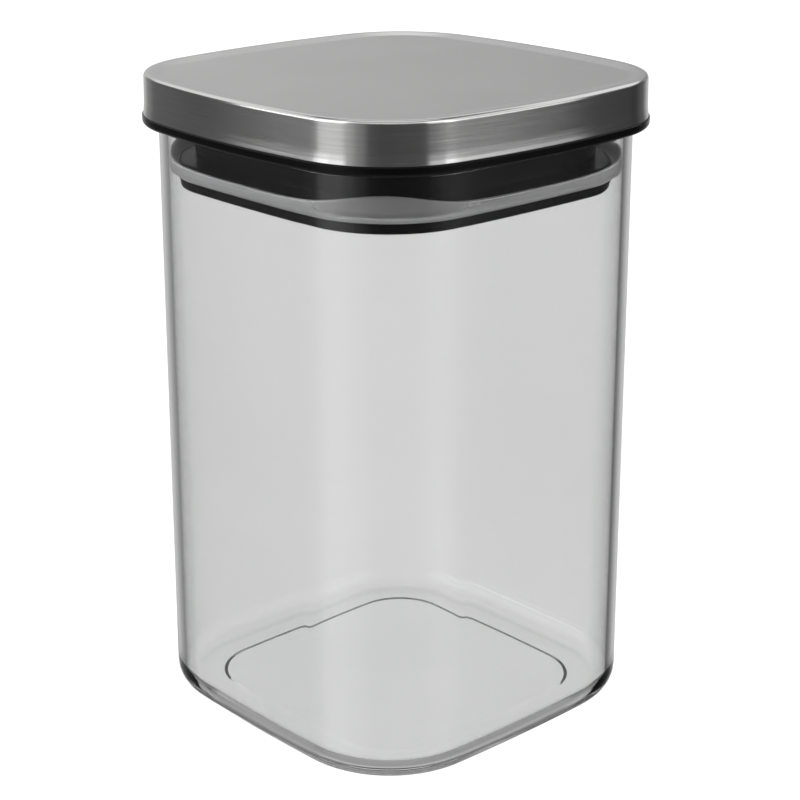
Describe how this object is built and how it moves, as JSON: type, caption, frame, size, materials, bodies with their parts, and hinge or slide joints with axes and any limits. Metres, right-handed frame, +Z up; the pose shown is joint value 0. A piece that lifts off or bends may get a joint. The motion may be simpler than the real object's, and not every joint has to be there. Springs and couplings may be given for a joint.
{
  "type": "storage canister",
  "caption": "Square clear glass storage canister with rounded corners and a push-in lid: brushed steel cap, black plastic plug and a soft grey sealing gasket.",
  "frame": {"origin": "bottom centre of the jar, on the surface it stands on", "axes": "+Z up, out of the mouth; the flat sides face +X, -X, +Y and -Y"},
  "size_m": [0.1076, 0.1076, 0.1636],
  "materials": {
    "clear_glass": "clear, polished",
    "steel": "fine straight brushing",
    "foam_tape": "matt foam",
    "black_plastic": "gloss moulded",
    "silicone": "satin, slightly translucent"
  },
  "bodies": {
    "jar": {"glass_jar": "clear_glass"},
    "lid": {"lid_cap": "steel", "cap_pads": "foam_tape", "lid_body": "black_plastic", "gasket": "silicone", "plug_base": "black_plastic"}
  },
  "joints": [
    {"name": "lid_lift", "type": "slide", "parent": "jar", "child": "lid", "axis": [0, 0, 1], "range_m": [0, 0.03]}
  ]
}
